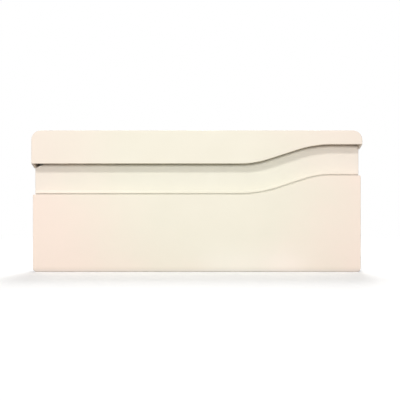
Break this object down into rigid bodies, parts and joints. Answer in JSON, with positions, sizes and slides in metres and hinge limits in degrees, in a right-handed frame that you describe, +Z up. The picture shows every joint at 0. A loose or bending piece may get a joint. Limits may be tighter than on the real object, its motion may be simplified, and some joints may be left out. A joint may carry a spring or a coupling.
{
  "type": "freezer compartment door",
  "caption": "Flap door of a small fridge's freezer compartment, with a full-width finger groove that steps up to one side, a back panel with a seal, and pin seats at its corners.",
  "frame": {"origin": "middle of the width and depth, at the bottom edge", "axes": "+X to the right seen from the front, the front faces -Y, +Z up as installed"},
  "size_m": [0.412, 0.036, 0.1765],
  "materials": {
    "body": "fine satin, cream white",
    "strip": "fine satin, cream white",
    "panel": "fine satin, cream white",
    "liner": "smooth vacuum-formed white",
    "seal": "soft matt, light grey",
    "seat": "plain acetal"
  },
  "bodies": {
    "root": {"door_body": "body", "handle_strip": "strip", "lower_panel": "panel", "back_panel": "liner", "door_seal": "seal", "hinge_seat_low_left": "seat", "hinge_seat_low_right": "seat", "hinge_seat_top_left": "seat", "hinge_seat_top_right": "seat"}
  },
  "joints": []
}
